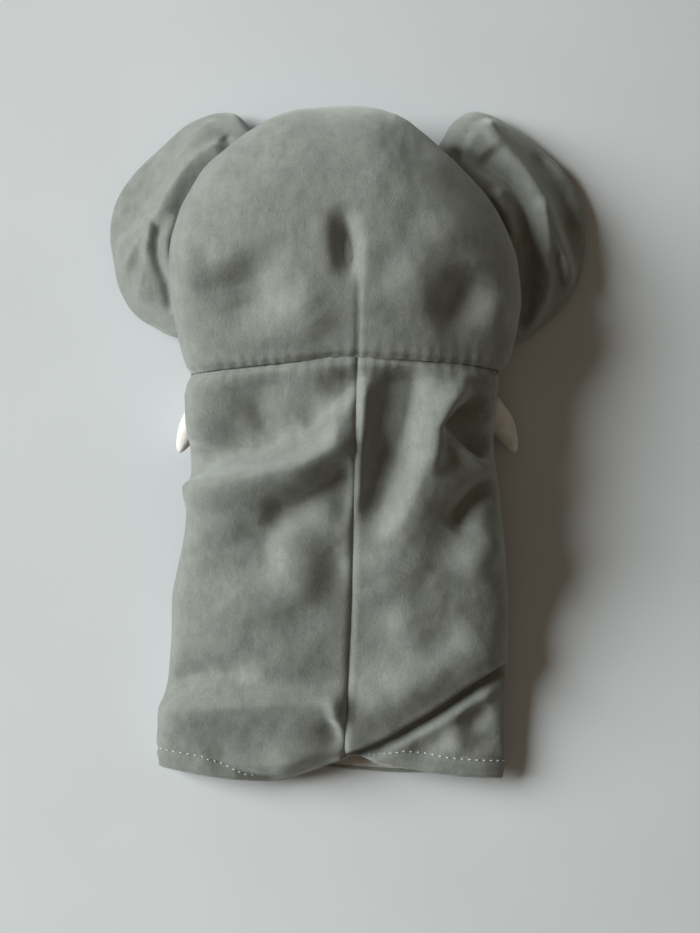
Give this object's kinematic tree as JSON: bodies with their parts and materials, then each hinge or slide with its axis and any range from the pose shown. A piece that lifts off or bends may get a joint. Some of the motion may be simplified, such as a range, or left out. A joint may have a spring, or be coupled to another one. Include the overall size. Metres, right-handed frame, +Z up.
{
  "type": "elephant hand puppet",
  "caption": "Plush hand puppet with a soft forearm sleeve, a stuffed elephant head, a hinged lower jaw, a swinging trunk, tusks and flapping ears, lying face down.",
  "frame": {"origin": "on the surface that the puppet lies on, under the middle of its bounding box", "axes": "+Y from the hem to the top of the head, +Z up out of the puppet's back, +X to the right seen from above"},
  "size_m": [0.201, 0.2851, 0.0689],
  "materials": {
    "plush": "short-pile grey-green velour",
    "ear_front": "short-pile grey-green velour, a little lighter",
    "lining": "plain white woven cotton",
    "filling": "white polyester fibre",
    "mouth": "pink brushed cloth",
    "tusk": "off-white felt",
    "thread": "pale grey-green sewing thread",
    "board": "stiff grey board",
    "eye": "polished black",
    "washer": "natural white"
  },
  "bodies": {
    "head": {"head_back_left": "plush", "head_back_right": "plush", "forehead_gusset": "plush", "cheek_left": "plush", "cheek_right": "plush", "throat_panel": "plush", "head_stuffing": "filling", "finger_pocket": "lining", "eye_left": "eye", "eye_right": "eye", "eye_washer_left": "washer", "eye_washer_right": "washer", "muzzle_cover": "plush", "muzzle_stuffing": "filling", "palate_board": "board", "palate_lining": "mouth", "tusk_left": "tusk", "tusk_right": "tusk"},
    "sleeve": {"sleeve_back_left": "plush", "sleeve_back_right": "plush", "sleeve_front": "plush", "sleeve_lining": "lining", "hem_stitching": "thread"},
    "lower_jaw": {"jaw_cover": "plush", "jaw_board": "board", "jaw_lining": "mouth"},
    "trunk": {"trunk_cover": "plush", "trunk_stuffing": "filling"},
    "trunk_tip": {"trunk_tip_cover": "plush", "trunk_tip_stuffing": "filling"},
    "ear_left": {"ear_back_left": "plush", "ear_front_left": "ear_front", "ear_batting_left": "filling"},
    "ear_right": {"ear_back_right": "plush", "ear_front_right": "ear_front", "ear_batting_right": "filling"}
  },
  "joints": [
    {"name": "neck_bend", "type": "hinge", "parent": "head", "child": "sleeve", "pos_m": [0, 0.032, 0.06], "axis": [-1, 0, 0], "range_deg": [0, 75]},
    {"name": "jaw_open", "type": "hinge", "parent": "head", "child": "lower_jaw", "pos_m": [0, 0.02663, 0.03806], "axis": [-1, 0, 0], "range_deg": [0, 25]},
    {"name": "trunk_swing", "type": "hinge", "parent": "head", "child": "trunk", "pos_m": [0, 0.049, 0.007], "axis": [0, 0, 1], "range_deg": [-22, 22]},
    {"name": "trunk_tip_swing", "type": "hinge", "parent": "trunk", "child": "trunk_tip", "pos_m": [0, 0.004, 0.006], "axis": [0, 0, 1], "range_deg": [-30, 30]},
    {"name": "ear_left_flap", "type": "hinge", "parent": "head", "child": "ear_left", "pos_m": [-0.06675, 0.092, 0.014], "axis": [0.1711, 0.9853, 0], "range_deg": [0, 45]},
    {"name": "ear_right_flap", "type": "hinge", "parent": "head", "child": "ear_right", "pos_m": [0.06675, 0.092, 0.014], "axis": [0.1711, -0.9853, 0], "range_deg": [0, 45]}
  ]
}
